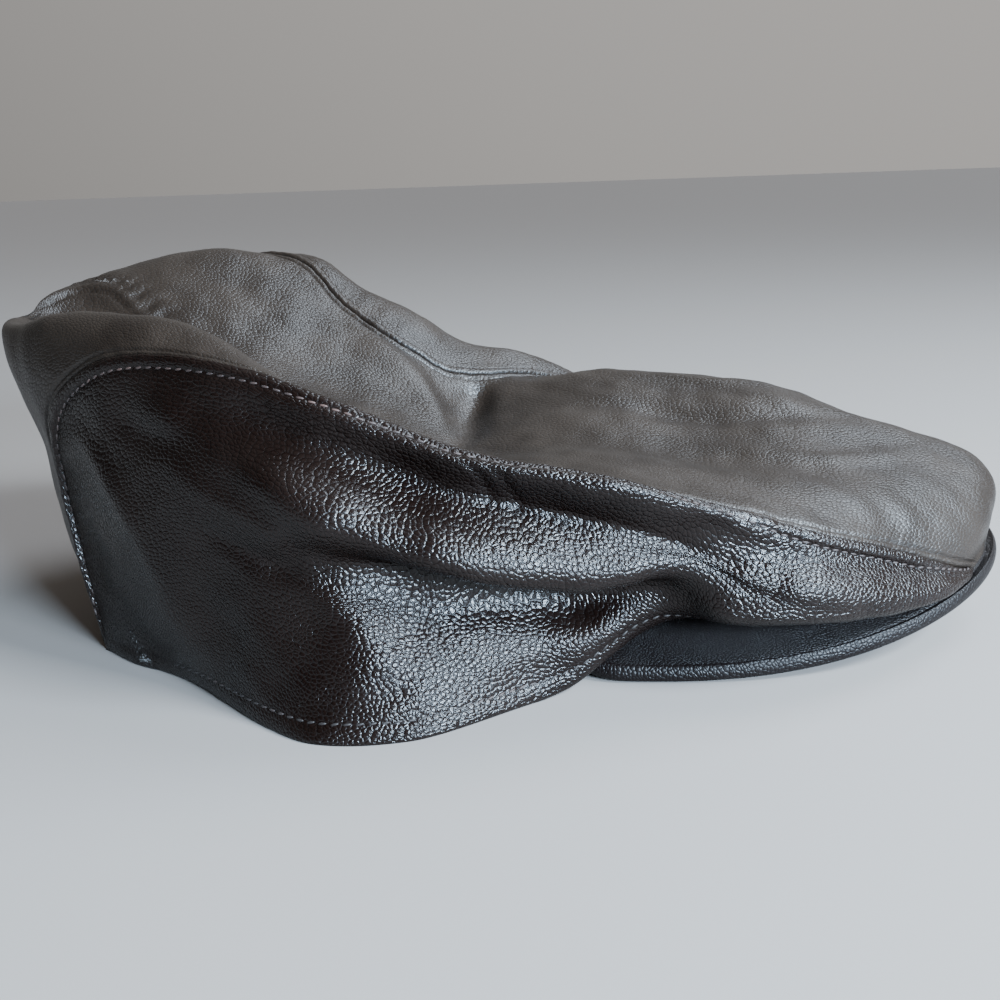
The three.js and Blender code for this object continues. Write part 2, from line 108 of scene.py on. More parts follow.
# %% The top panel's heights
ACROSS = [0, 0.13, 0.32, 0.5, 0.68, 0.87, 1]
BOW_POWER = 2.4
CROWN = np.array([
    [-0.062, 0, 0, 0, 0, 0],
    [-0.062, 0.25, 0.25, 0.25, 0.25, 0.25],
    [-0.078, 0.52, 0.54, 0.55, 0.54, 0.53],
    [-0.126, 0.75, 0.83, 0.85, 0.87, 0.83],
    [-0.138, 0.895, 0.85, 0.85, 0.93, 0.98],
    [-0.086, 0.92, 0.80, 0.785, 0.895, 1.01],
    [-0.056, 0.86, 0.72, 0.69, 0.765, 0.90],
    [-0.036, 0.70, 0.61, 0.585, 0.63, 0.745],
    [-0.016, 0.59, 0.515, 0.49, 0.515, 0.605],
    [0.000, 0.50, 0.425, 0.395, 0.405, 0.445],
    [0.008, 0.38, 0.27, 0.29, 0.37, 0.46],
    [0.024, 0.305, 0.25, 0.295, 0.345, 0.38],
    [0.052, 0.205, 0.215, 0.24, 0.24, 0.225],
    [0.074, 0.105, 0.145, 0.165, 0.15, 0.11],
    [0.040, 0, 0, 0, 0, 0],
])
print("highest middle of the top panel, mm", CROWN[:, 3].max() * CROWN_HEIGHT)

# %% [markdown]
# LOWER_EDGE is the hem of both side panels: x as a share of the length and y of
# half the width. It lies on the floor at the back and on the peak in front. The
# third column, a share of the height, is how far it stands off where it crosses
# the edge of the peak.

# %% The hem's line
LOWER_EDGE = np.array([
    [-0.440, 0.510, 0], [-0.388, 0.605, 0], [-0.352, 0.645, 0], [-0.320, 0.690, 0],
    [-0.288, 0.750, 0], [-0.252, 0.830, 0], [-0.204, 0.930, 0], [-0.148, 1.000, 0],
    [-0.066, 0.978, 0], [0.050, 0.848, 0], [0.152, 0.840, 0.065], [0.232, 0.825, 0.02],
    [0.384, 0.730, 0], [0.464, 0.600, 0], [0.500, 0.490, 0],
])
LEAVES_FLOOR = 9.2
MEETS_PEAK = 9.8
RISES_FROM = 8.3
RISES_TO = 10
NARROWS_FROM = 8
NARROWS_TO = 11
print("the hem is widest at station", LOWER_EDGE[:, 1].argmax())

# %% [markdown]
# The side panels bulge. Each row says how far, at a fifth, two, three and four
# fifths of the panel's height, and how far its top rolls up past the seam, all as
# shares of the crown's height. The sides are alike at the back and at the front, and
# differ between, because the cap has slumped.

# %% The side panels' bulges
BULGE_HEIGHTS = [0, 0.2, 0.4, 0.6, 0.8, 0.93, 1]
SPINE = 0.24
BOTH_BEHIND = [
    [0, 0, 0, 0, 0],
    [0, 0, 0, 0, 0],
    [0.01, 0.01, 0, 0, 0],
    [0.02, 0.02, 0.01, 0, 0],
    [0.02, 0.03, 0.03, 0.01, 0],
]
BOTH_AHEAD = [
    [0.16, 0.17, 0.14, 0.06, 0],
    [0.10, 0.10, 0.07, 0.03, 0],
    [0.04, 0.04, 0.03, 0.01, 0],
    [0, 0, 0, 0, 0],
]
BULGES = {
    "right": np.array(BOTH_BEHIND + [
        [0, 0.01, 0.03, 0.02, 0],
        [-0.02, -0.01, 0.03, 0.03, 0.01],
        [-0.04, -0.06, 0.02, 0.05, 0.03],
        [-0.04, -0.08, 0.03, 0.07, 0.05],
        [-0.02, -0.05, 0.06, 0.08, 0.05],
        [0.03, 0.05, 0.10, 0.08, 0.04],
    ] + BOTH_AHEAD),
    "left": np.array(BOTH_BEHIND + [
        [0.01, 0.02, 0.05, 0.05, 0.03],
        [0, 0.01, 0.06, 0.09, 0.07],
        [0.02, 0.04, 0.09, 0.16, 0.10],
        [0.04, 0.09, 0.16, 0.25, 0.125],
        [0.05, 0.10, 0.16, 0.22, 0.10],
        [0.06, 0.08, 0.08, 0.05, 0.01],
    ] + BOTH_AHEAD),
}
for side, rows in BULGES.items():
    print(side, "side's deepest bulge, mm", rows.max() * CROWN_HEIGHT)

# %% [markdown]
# A smooth curve goes through the rows of each table. This is the common
# Catmull-Rom curve: it passes through every row and needs no handles.
# It is read at any place along the cap, and across it in the same way.


# %% Smooth curves through a table
def blend_four(p0, p1, p2, p3, t):
    """The curve between p1 and p2, bent by their neighbours."""
    bend = 2 * p0 - 5 * p1 + 4 * p2 - p3
    twist = 3 * p1 - p0 - 3 * p2 + p3
    return 0.5 * (2 * p1 + (p2 - p0) * t + bend * t**2 + twist * t**3)


def smooth(rows, place):
    """The table's row at each place, counted in stations."""
    wide = np.concatenate([[2 * rows[0] - rows[1]], rows, [2 * rows[-1] - rows[-2]]])
    i = np.clip(place.astype(int), 0, len(rows) - 2)
    t = (place - i)[:, None]
    return blend_four(wide[i], wide[i + 1], wide[i + 2], wide[i + 3], t)


def across(controls, share):
    """Each row of controls is a curve, read at that row's shares from 0 to 1."""
    first = 2 * controls[:, :1] - controls[:, 1:2]
    final = 2 * controls[:, -1:] - controls[:, -2:-1]
    wide = np.concatenate([first, controls, final], axis=1)
    place = share * (controls.shape[1] - 1)
    i = np.clip(place.astype(int), 0, controls.shape[1] - 2)
    row = np.arange(len(controls))[:, None]
    t = (place - i)[..., None]
    return blend_four(wide[row, i], wide[row, i + 1], wide[row, i + 2], wide[row, i + 3], t)


print("seams at mid cap", smooth(SEAMS, np.array([7.0]))[0].round(3))

# %% [markdown]
# The peak is a stiff arched plate. Its outline is a rounded half oval, and its top
# falls to both sides, where it touches the floor. What lies on it reads its height
# from here, so that the crown sits on the peak with no gap.

# %% The peak's outline and height
PEAK_CENTRE = 0.132 * CROWN_LENGTH
HORN_REACH = 0.128 * CROWN_LENGTH
HORN_ANGLE = math.radians(125)
INNER_WIDTH = 0.725
ARCH_POWER = 2.5
FULLNESS = 2.3
OUTLINE_POINTS = 45
PEAK_REACH = peak_front - PEAK_CENTRE


def rounded(value):
    return np.sign(value) * np.abs(value) ** (2 / FULLNESS)


def peak_edge(angle, reach, half_width):
    """The outline at an angle from straight ahead, with short horns behind."""
    ahead = np.where(np.cos(angle) > 0, reach, HORN_REACH)
    x = PEAK_CENTRE + ahead * rounded(np.cos(angle))
    return np.stack([x, half_width * rounded(np.sin(angle))], axis=-1)


def peak_sag(x, y):
    aside = np.minimum(np.abs(y) / (PEAK_WIDTH / 2), 1)
    return -PEAK_SLOPE * (x - PEAK_CENTRE) / PEAK_REACH - PEAK_ARCH * aside**ARCH_POWER


turns = np.linspace(-HORN_ANGLE, HORN_ANGLE, OUTLINE_POINTS)
outline = peak_edge(turns, PEAK_REACH, PEAK_WIDTH / 2)
peak_lift = PEAK_THICKNESS - peak_sag(outline[:, 0], outline[:, 1]).min()


def peak_top(x, y):
    return peak_lift + peak_sag(x, y)


print("peak height at its middle, mm", round(float(peak_top(PEAK_CENTRE, 0)), 1))

# %% [markdown]
# Where a seam or a hem point lies: the tables' shares become millimetres, and the
# height counts from what is under it, the floor or the peak.


# %% From shares to millimetres
def change(station, first, last):
    """From 0 to 1 between two stations, with no corner at either."""
    part = np.clip((station - first) / (last - first), 0, 1)
    return part * part * (3 - 2 * part)


def seat(station, x, y):
    """What the hem lies on: the floor, and further on the peak."""
    return change(station, LEAVES_FLOOR, MEETS_PEAK) * (peak_top(x, y) + SEAT_GAP)


def base(station, x, y):
    """What the crown's heights count from. It rises more slowly than the hem."""
    return change(station, RISES_FROM, RISES_TO) * (peak_top(x, y) + SEAT_GAP)


def sideways(station, y):
    narrowing = change(station, NARROWS_FROM, NARROWS_TO)
    return y * (RIM_WIDTH + (PEAK_WIDTH - RIM_WIDTH) * narrowing) / 2


def seam_line(side, station):
    row = smooth(SEAMS, station)
    x, y, z = (row[:, :3] if side == "right" else row[:, 3:]).T
    x, y = x * CROWN_LENGTH, sideways(station, y)
    return np.stack([x, y, base(station, x, y) + z * CROWN_HEIGHT], axis=-1)


def hem_line(side, station):
    x, y, rise = smooth(LOWER_EDGE, station).T
    x, y = x * CROWN_LENGTH, sideways(station, -y if side == "right" else y)
    z = seat(station, x, y) + np.maximum(rise, 0) * CROWN_HEIGHT
    return np.stack([x, y, z], axis=-1)


print("right hem over the peak, mm", hem_line("right", np.array([11.0]))[0].round(1))


# %% [markdown]
# Each station of a panel is a curve with seven controls. The top panel's go from
# the right seam to the left one. A side panel's go from its seam down to its hem,
# pushed outwards by its bulges, away from a line inside the cap.
# Just under the seam a side takes a part of its crest, so that it rolls over softly.

# %% The panels' curves at each station
CREST_PUSH = 0.35
UNDER_SEAM_TOP = 0.5
UNDER_SEAM_CREST = 0.6


def top_controls(station):
    right, left = seam_line("right", station), seam_line("left", station)
    row = smooth(CROWN, station)
    controls = []
    for k, share in enumerate(ACROSS):
        point = right * (1 - share) + left * share
        point[:, 0] += row[:, 0] * CROWN_LENGTH * (1 - abs(2 * share - 1) ** BOW_POWER)
        if 0 < k < len(ACROSS) - 1:
            point[:, 2] = base(station, point[:, 0], point[:, 1]) + row[:, k] * CROWN_HEIGHT
        controls.append(point)
    return np.stack(controls, axis=1)


def side_controls(side, station):
    seam, hem = seam_line(side, station), hem_line(side, station)
    low, mid, high, top, crest = (smooth(BULGES[side], station) * CROWN_HEIGHT).T
    middle = (seam + hem) / 2
    spine = np.clip(middle[:, 0], -SPINE * CROWN_LENGTH, SPINE * CROWN_LENGTH)
    outward = np.stack([middle[:, 0] - spine, middle[:, 1], 0 * spine], axis=-1)
    outward /= np.linalg.norm(outward, axis=-1, keepdims=True)
    rise = 0 * crest
    under_seam = UNDER_SEAM_TOP * top + UNDER_SEAM_CREST * crest
    pushes = [(rise, rise), (low, rise), (mid, rise), (high, rise), (top, CREST_PUSH * crest),
              (under_seam, crest), (rise, rise)]
    controls = []
    for share, (push, lift) in zip(BULGE_HEIGHTS, pushes):
        point = hem * (1 - share) + seam * share + outward * push[:, None]
        point[:, 2] += lift
        controls.append(point)
    return np.stack(controls[::-1], axis=1)


print("right side's controls", side_controls("right", np.array([7.0])).shape[1:])


# %% [markdown]
# The leather needs points about a millimetre apart, and closer still beside a seam
# or a hem, where it rolls over an edge. So the columns of the grid are set by their
# distance from the two edges of the panel, in millimetres, and even in between.
# Where the panel is narrower than NARROW, they squeeze together.

# %% A grid with fine columns at its edges
FINE_STEPS = 301
SEAM_COLUMNS = [0, 0.25, 0.55, 0.9, 1.3, 1.8, 2.4, 2.9, 3.3, 3.8, 4.5, 5.5]
HEM_COLUMNS = [0, 0.25, 0.6, 1.0, 1.6, 2.6, 3.8, 4.5, 5.0, 5.5, 6.4]
NARROW = 26


def arc_lengths(curve):
    steps = np.linalg.norm(np.diff(curve, axis=1), axis=-1)
    return np.concatenate([np.zeros((len(curve), 1)), np.cumsum(steps, axis=1)], axis=1)


def grid_points(controls, first_edge, last_edge, middle_count):
    """Points of a panel and each one's distance from both its edges, in mm."""
    fine = np.linspace(0, 1, FINE_STEPS)
    lengths = arc_lengths(across(controls, np.tile(fine, (len(controls), 1))))
    shares, starts = [], []
    for length in lengths:
        total = max(length[-1], 1e-6)
        squeeze = min(1, total / NARROW)
        start = np.array(first_edge) * squeeze
        end = total - np.array(last_edge)[::-1] * squeeze
        wanted = np.concatenate([start, np.linspace(start[-1], end[0], middle_count)[1:-1], end])
        shares.append(np.interp(wanted, length, fine))
        starts.append(wanted)
    starts = np.array(starts)
    return across(controls, np.array(shares)), starts, lengths[:, -1:] - starts


# %% [markdown]
# The stations of the tables lie closer in some places than in others. The rows of
# the grid are spread evenly instead, by the way that both seams and the middle of
# the top panel go together, so that the leather is equally fine everywhere.

# %% Stations evenly spaced along the cap
ROWS = 341
walk = np.linspace(0, LAST_STATION, 100 * LAST_STATION + 1)
middle_line = across(top_controls(walk), 0.5 + 0 * walk[:, None])[:, 0]
guides = (seam_line("right", walk), seam_line("left", walk), middle_line)
steps = sum(np.linalg.norm(np.diff(line, axis=0), axis=-1) for line in guides)
walked = np.concatenate([[0], np.cumsum(steps)])
stations = np.interp(np.linspace(0, walked[-1], ROWS), walked, walk)
print("rows", ROWS, "about", round(walked[-1] / len(guides) / ROWS, 2), "mm apart")

# %% [markdown]
# Normals say which way the leather faces. They come from the grid itself: the cross
# product of its two directions at every point.


# %% Which way the leather faces
def grid_normals(points, outward_sign):
    normals = outward_sign * np.cross(np.gradient(points, axis=0), np.gradient(points, axis=1))
    size = np.linalg.norm(normals, axis=-1, keepdims=True)
    return normals / np.maximum(size, 1e-9)


# %% [markdown]
# The folds. Each runs on a panel through three places, given by station and by the
# share of the panel's width. Then come its width and its depth, as shares of the
# crown's height. A dent has a negative depth.
# The first seven are the cap's main folds, as its solids have them. The rest are
# the smaller creases of worn leather.

# %% The folds
FOLDS = [
    ("right", 5.6, 0.30, 8.4, 0.30, 10.9, 0.50, 0.070, -0.070),
    ("right", 5.0, 0.30, 7.4, 0.46, 9.6, 0.56, 0.080, 0.050),
    ("right", 6.8, 0.54, 8.3, 0.58, 10.2, 0.74, 0.060, -0.080),
    ("right", 6.75, 0.56, 7.3, 0.72, 7.7, 0.90, 0.100, 0.050),
    ("left", 6.0, 0.30, 8.0, 0.38, 10.5, 0.50, 0.080, -0.050),
    ("top", 8.95, 0.98, 8.8, 0.86, 8.55, 0.60, 0.060, -0.045),
    ("top", 7.4, 0.92, 8.1, 0.84, 8.5, 0.70, 0.060, 0.025),
    ("right", 8.24, 0.12, 8.42, 0.20, 8.58, 0.32, 0.012, -0.009),
    ("right", 8.44, 0.12, 8.62, 0.21, 8.84, 0.34, 0.014, -0.009),
    ("right", 5.40, 0.56, 6.10, 0.60, 6.90, 0.62, 0.030, -0.016),
    ("right", 5.20, 0.44, 6.00, 0.49, 6.70, 0.53, 0.032, 0.012),
    ("right", 4.20, 0.30, 5.00, 0.36, 5.90, 0.37, 0.040, -0.016),
    ("right", 3.00, 0.20, 3.60, 0.40, 4.10, 0.66, 0.045, 0.014),
    ("right", 9.20, 0.44, 10.20, 0.52, 11.40, 0.66, 0.024, -0.014),
    ("right", 7.90, 0.30, 9.20, 0.34, 10.60, 0.42, 0.016, -0.008),
    ("top", 3.50, 0.46, 4.20, 0.575, 4.90, 0.50, 0.055, -0.030),
    ("top", 5.60, 0.30, 6.60, 0.26, 7.80, 0.30, 0.060, 0.016),
    ("top", 9.60, 0.80, 10.40, 0.70, 11.20, 0.74, 0.055, 0.014),
    ("top", 9.40, 0.62, 10.40, 0.52, 11.50, 0.56, 0.050, -0.014),
    ("top", 10.4, 0.40, 11.20, 0.34, 12.00, 0.42, 0.045, 0.010),
]
print("folds", len(FOLDS))

# %% [markdown]
# A fold lifts or dents the leather by its distance from the fold's line, and it
# fades towards both ends. Sculpting could do this by eye. Here each fold stays one
# row of numbers that can be moved.

# %% How a fold lifts the leather
FOLD_STEPS = 24
FOLD_END = 0.1


def bump_at(distance, place, width):
    """A soft ridge, 1 high, at a distance from a line."""
    return np.exp(-(((distance - place) / width) ** 2))


def fold_line(fold, surface):
    """The fold's line on the panel, smooth through its three places."""
    u1, v1, u2, v2, u3, v3 = fold[1:7]
    t = np.linspace(0, 2, FOLD_STEPS + 1)
    place = smooth(np.array([[u1, v1], [u2, v2], [u3, v3]]), t)
    return surface(place[:, 0], place[:, 1])


def distance_to(points, line):
    """Each point's distance from a line, and how far along the line that is."""
    nearest = np.full(points.shape[:-1], np.inf)
    along = np.zeros(points.shape[:-1])
    for i in range(len(line) - 1):
        way = line[i + 1] - line[i]
        share = np.clip((points - line[i]) @ way / max(way @ way, 1e-9), 0, 1)
        distance = np.linalg.norm(points - line[i] - share[..., None] * way, axis=-1)
        along = np.where(distance < nearest, (i + share) / (len(line) - 1), along)
        nearest = np.minimum(distance, nearest)
    return nearest, along


def fold_lift(panel, points, surface):
    """How far the folds of a panel lift each of its points, in mm."""
    lift = np.zeros(points.shape[:-1])
    for fold in FOLDS:
        if fold[0] == panel:
            width, depth = fold[7] * CROWN_HEIGHT, fold[8] * CROWN_HEIGHT
            distance, along = distance_to(points, fold_line(fold, surface))
            fade = np.sin(math.pi * (FOLD_END + (1 - 2 * FOLD_END) * along))
            lift += depth * fade * bump_at(distance, 0, width)
    return lift


# %% [markdown]
# The dart is a short curved seam that takes in the back of the top panel. On one
# side of a narrow groove the leather stands up in a welt, and behind the welt it
# gathers in small pleats. Its line is a few places, listed as station and share.

# %% The dart in the top panel
DART = [(3.30, 0.520), (3.73, 0.597), (3.97, 0.628), (4.26, 0.637), (4.52, 0.626), (4.95, 0.56)]
DART_FADE = 0.12
DART_GROOVE = 0.8
GROOVE_WIDTH = 0.8
DART_WELT = 0.6
WELT_WIDTH = 3.4
WELT_EDGE = 0.35
PLEATS = 15
PLEAT_HEIGHT = 0.55
PLEAT_BEND = 0.5
PLEATS_AT = 6.5
PLEATS_WIDTH = 4.0
PLEATS_FROM = 0.35
PLEATS_GROW = 0.2


def step_down(distance, place, edge):
    """1 up to a distance from a line and 0 beyond it, with a soft edge."""
    return 0.5 - 0.5 * np.tanh((distance - place) / (2 * edge))


def dart_line(surface):
    turns = np.linspace(0, len(DART) - 1, 8 * len(DART))
    place = smooth(np.array(DART), turns)
    return surface(place[:, 0], place[:, 1])


def dart_lift(points, line):
    distance, along = distance_to(points, line)
    way = np.gradient(line, axis=0)
    nearest = np.clip((along * (len(line) - 1)).astype(int), 0, len(line) - 1)
    aside = np.cross(way[nearest], points - line[nearest])[..., 2]
    fade = np.clip(np.minimum(along, 1 - along) / DART_FADE, 0, 1)
    groove = DART_GROOVE * bump_at(distance, 0, GROOVE_WIDTH)
    welt = DART_WELT * step_down(distance, WELT_WIDTH, WELT_EDGE) * (aside > 0)
    wave = np.sin(2 * math.pi * along * PLEATS + PLEAT_BEND * np.sin(distance))
    grown = np.clip((along - PLEATS_FROM) / PLEATS_GROW, 0, 1) * (aside > 0)
    pleats = PLEAT_HEIGHT * wave * bump_at(distance, PLEATS_AT, PLEATS_WIDTH) * grown
    return fade * (welt - groove) + pleats


# %% [markdown]
# Leather is never quite smooth. A sum of a few waves in random directions, from a
# fixed seed, gives it a slow unevenness that is the same each time this runs.
# Each row of UNEVENNESS is a height and a wavelength in mm, and a seed to count from.

# %% Slow unevenness
UNEVENNESS = [(0.45, 34, 0), (0.16, 13, 7)]


def ripples(points, wavelength, seed, waves=12):
    """Smooth random waves through space, mostly between -1 and 1."""
    random = np.random.default_rng(seed)
    total = np.zeros(points.shape[:-1])
    for _ in range(waves):
        way = random.normal(size=points.shape[-1])
        way *= random.uniform(0.6, 1.5) / np.linalg.norm(way)
        total += np.sin(points @ way * 2 * math.pi / wavelength + random.uniform(0, 2 * math.pi))
    return total / math.sqrt(waves)


# %% [markdown]
# A sewn seam isn't flat. Both panels roll down into it. The side panel carries the
# folded edges of both, so a band beside the seam stands up, ends in the dip that
# the stitches pull, and the leather puckers a little beyond it. On the top panel a
# narrower dip shows where the stitches behind it hold the fold down.
# This could be a bump in the material, but its shadows and its outline are real.

# %% The shape of a seam
SEAM_ROLL = 1.1
BAND_HEIGHT = 0.85
BAND_WIDTH = 3.3
BAND_EDGE = 0.22
STITCH_DIP = 0.65
STITCH_DIP_WIDTH = 0.6
TOP_DIP = 0.65
TOP_DIP_WIDTH = 0.5
TOP_LINE = 2.6
PUCKER_HEIGHT = 0.12
PUCKER_LENGTH = 5.5
PUCKER_STRETCH = 0.25
PUCKER_REACH = 9


def roll_down(distance, radius):
    """How far a surface has dropped, close to an edge that it rolls over."""
    left = np.clip(radius - distance, 0, radius)
    return radius - np.sqrt(radius**2 - left**2)


def seam_relief(distance, along, banded, seed):
    """The height of the leather beside a seam, in mm, without the roll."""
    beside = np.stack([along, PUCKER_STRETCH * distance], axis=-1)
    pucker = PUCKER_HEIGHT * ripples(beside, PUCKER_LENGTH, seed, waves=8)
    relief = pucker * np.exp(-distance / PUCKER_REACH)
    if banded:
        band = BAND_HEIGHT * step_down(distance, BAND_WIDTH, BAND_EDGE)
        return relief + band - STITCH_DIP * bump_at(distance, BAND_WIDTH, STITCH_DIP_WIDTH)
    return relief - TOP_DIP * bump_at(distance, TOP_LINE, TOP_DIP_WIDTH)


print("band beside the seam, mm wide", BAND_WIDTH, "high", BAND_HEIGHT)


# %% [markdown]
# One panel: its smooth surface, the folds, the seams and the unevenness on it, and
# a wall of leather under it. The inside is coarser, every other point, because it
# is plain and out of sight. So a panel has an odd number of columns and of rows.

# %% Build the faces of a panel
TOP_MIDDLE = 147
SIDE_MIDDLE = 60


def panel_surface(controls_at):
    """A function that gives points of the smooth panel at stations and shares."""
    def surface(station, share):
        return across(controls_at(station), share[:, None])[:, 0]
    return surface


def start_panel(name, controls_at, first_edge, last_edge, middle_count, outward_sign):
    points, from_first, from_last = grid_points(
        controls_at(stations), first_edge, last_edge, middle_count)
    surface = panel_surface(controls_at)
    lift = fold_lift(name, points, surface)
    if name == "top":
        lift += dart_lift(points, dart_line(surface))
    for height, wavelength, seed in UNEVENNESS:
        lift += height * ripples(points, wavelength, seed + len(name))
    return {"name": name, "smooth": points, "normals": grid_normals(points, outward_sign), "lift": lift,
            "from_first": from_first, "from_last": from_last, "sign": outward_sign}


def start_side(side, outward_sign):
    return start_panel(side, lambda station: side_controls(side, station),
                       SEAM_COLUMNS, HEM_COLUMNS, SIDE_MIDDLE, outward_sign)


top = start_panel("top", top_controls, SEAM_COLUMNS, SEAM_COLUMNS, TOP_MIDDLE, 1)
right = start_side("right", -1)
left = start_side("left", 1)
for panel in (top, right, left):
    print(panel["name"], panel["smooth"].shape[:2], "facing", panel["normals"][ROWS // 2, 40].round(2))

# %% [markdown]
# Sewing the panels. Along a seam both panels share one line and one direction, half
# way between the two they face. Close to the seam each panel rolls down along that
# direction, so their edges meet in a tight groove. The folds and the unevenness
# calm down on the way there.

# %% Sew the panels together
CALM_WITHIN = 8
TURN_REACH = 1.5


def fullness(panel):
    """1 where a panel is wide, and less where it narrows to its ends."""
    return np.clip(panel["from_first"][:, -1:] / NARROW, 0, 1)


def sew(first, first_edge, second, second_edge, seed):
    """Rolls the edges of two panels into their seam. An edge is column 0 or -1."""
    mitre = first["normals"][:, first_edge] + second["normals"][:, second_edge]
    mitre /= np.linalg.norm(mitre, axis=-1, keepdims=True)
    along = arc_lengths(first["smooth"][None, :, first_edge])[0]
    for panel, edge, banded in ((first, first_edge, False), (second, second_edge, True)):
        distance = panel["from_first"] if edge == 0 else panel["from_last"]
        near = np.exp(-distance / TURN_REACH)[..., None]
        turned = panel["normals"] * (1 - near) + mitre[:, None] * near
        panel["normals"] = turned / np.linalg.norm(turned, axis=-1, keepdims=True)
        relief = seam_relief(distance, along[:, None] + 0 * distance, banded, seed)
        panel["lift"] *= np.clip(distance / CALM_WITHIN, 0, 1)
        panel["lift"] += fullness(panel) * relief - roll_down(distance, SEAM_ROLL)
    print("sewn", first["name"], "to", second["name"], "mm long", along[-1].round(1))


sew(top, 0, right, 0, seed=3)
sew(top, -1, left, 0, seed=4)

# %% [markdown]
# The hem is the leather turned in and stitched: it ends in a soft round edge that
# stays on the floor, or on the peak.

# %% Finish the hems
HEM_ROUND = 1.0
HEM_LINE = 5.0
HEM_DIP = 0.22
HEM_SWELL = 0.25
SWELL_AT = 2.6
SWELL_WIDTH = 1.8


def hem_relief(distance):
    dip = HEM_DIP * bump_at(distance, HEM_LINE, STITCH_DIP_WIDTH)
    swell = HEM_SWELL * bump_at(distance, SWELL_AT, SWELL_WIDTH)
    return swell - dip - roll_down(distance, HEM_ROUND)


for panel in (right, left):
    panel["lift"] *= np.clip(panel["from_last"] / CALM_WITHIN, 0, 1)
    panel["lift"] += fullness(panel) * hem_relief(panel["from_last"])
    print(panel["name"], "hem turned in at", HEM_LINE, "mm")

# %% [markdown]
# The finished faces. Every point moves along the way it faces by its lift, and no
# point goes lower than the floor or the peak under it. The outside stays a hair's
# breadth above the inside there, so that the two never touch.

# %% Lay the leather
OUTSIDE_LIFT = 0.02
INSIDE_FOLLOWS = 0.3
CALM_ENDS = 0.15


def keep_above(points, clearance):
    ground = seat(stations[:, None], points[..., 0], points[..., 1]) + clearance
    points[..., 2] = np.maximum(points[..., 2], ground)
    return points


def lay(panel):
    ends = np.minimum(stations, LAST_STATION - stations)[:, None]
    lift = panel["lift"] * np.clip(ends / CALM_ENDS, 0, 1)
    sink = np.minimum(lift, INSIDE_FOLLOWS) - LEATHER_THICKNESS
    outer = keep_above(panel["smooth"] + panel["normals"] * lift[..., None], OUTSIDE_LIFT)
    inner = panel["smooth"] + panel["normals"] * sink[..., None]
    panel["outer"] = outer
    panel["inner"] = keep_above(inner, 0)[::2, ::2]
    panel["facing"] = grid_normals(outer, panel["sign"])


for panel in (top, right, left):
    lay(panel)
    lowest, highest = panel["lift"].min(), panel["lift"].max()
    print(panel["name"], "lift from", lowest.round(2), "to", highest.round(2), "mm")

# %% [markdown]
# The grids become meshes. The outside is one sheet of quads, the inside another with
# half as many each way, and a strip of five-sided faces joins them round the edge.
# A map in the leather, in tenths of a metre along and across the panel, lets the
# grain follow the leather round its folds.

# %% A closed body from two grids
MERGE_WITHIN = 0.002 * MM
SHARP_ANGLE = math.radians(50)
MAP_UNIT = 100


def quads(grid):
    """The faces of one sheet of points, given by their numbers."""
    corners = (grid[:-1, :-1], grid[1:, :-1], grid[1:, 1:], grid[:-1, 1:])
    return np.stack(corners, axis=-1).reshape(-1, 4).tolist()


def shell_faces(rows, columns):
    """Faces of a shell whose inside has every other point of its outside."""
    outside = np.arange(rows * columns).reshape(rows, columns)
    thinned = outside[::2, ::2]
    inside = rows * columns + np.arange(thinned.size).reshape(thinned.shape)
    faces = quads(outside) + [face[::-1] for face in quads(inside)]
    for near, far, flip in ((outside[:, 0], inside[:, 0], False), (outside[:, -1], inside[:, -1], True),
                            (outside[0], inside[0], True), (outside[-1], inside[-1], False)):
        for k in range(len(far) - 1):
            ring = [near[2 * k], far[k], far[k + 1], near[2 * k + 2], near[2 * k + 1]]
            faces.append([int(v) for v in (ring[::-1] if flip else ring)])
    return faces


def to_metres(points):
    return (points.reshape(-1, 3) + [frame_shift, 0, 0]) * MM


def add(name, data):
    """A new object at the origin, in the scene."""
    obj = bpy.data.objects.new(name, data)
    bpy.context.collection.objects.link(obj)
    return obj


def make_mesh(name, points, faces):
    mesh = bpy.data.meshes.new(name)
    mesh.from_pydata(to_metres(points).tolist(), [], faces)
    mesh.polygons.foreach_set("use_smooth", [True] * len(mesh.polygons))
    return add(name, mesh)


def map_leather(obj, sheet):
    """Gives each point its place on the flat leather, in mm, as a UV map."""
    corners = np.zeros(len(obj.data.loops), dtype=int)
    obj.data.loops.foreach_get("vertex_index", corners)
    layer = obj.data.uv_layers.new(name="leather")
    layer.data.foreach_set("uv", (sheet[corners] / MAP_UNIT).ravel())


def merge_and_face_out(obj):
    work = bmesh.new()
    work.from_mesh(obj.data)
    bmesh.ops.remove_doubles(work, verts=work.verts, dist=MERGE_WITHIN)
    volume = work.calc_volume(signed=True)
    if volume < 0:
        bmesh.ops.reverse_faces(work, faces=work.faces)
    open_edges = sum(1 for edge in work.edges if not edge.is_manifold)
    work.to_mesh(obj.data)
    work.free()
    obj.data.set_sharp_from_angle(angle=SHARP_ANGLE)
    print(obj.name, "faces", len(obj.data.polygons), "open edges", open_edges, "turned", volume < 0)


# %% [markdown]
# The cap's three big pieces of leather, each a closed body. The map is made before
# the doubles are merged, while the points still have the order of the grid.


# %% The three leather panels
def panel_object(panel, name):
    outer, inner = panel["outer"], panel["inner"]
    points = np.concatenate([outer.reshape(-1, 3), inner.reshape(-1, 3)])
    obj = make_mesh(name, points, shell_faces(*outer.shape[:2]))
    steps = np.linalg.norm(np.diff(panel["smooth"], axis=0), axis=-1).mean(axis=1)
    along = np.concatenate([[0], np.cumsum(steps)])[:, None] + 0 * panel["from_first"]
    sheet = np.stack([along, panel["from_first"]], axis=-1)
    map_leather(obj, np.concatenate([sheet.reshape(-1, 2), sheet[::2, ::2].reshape(-1, 2)]))
    merge_and_face_out(obj)
    return obj


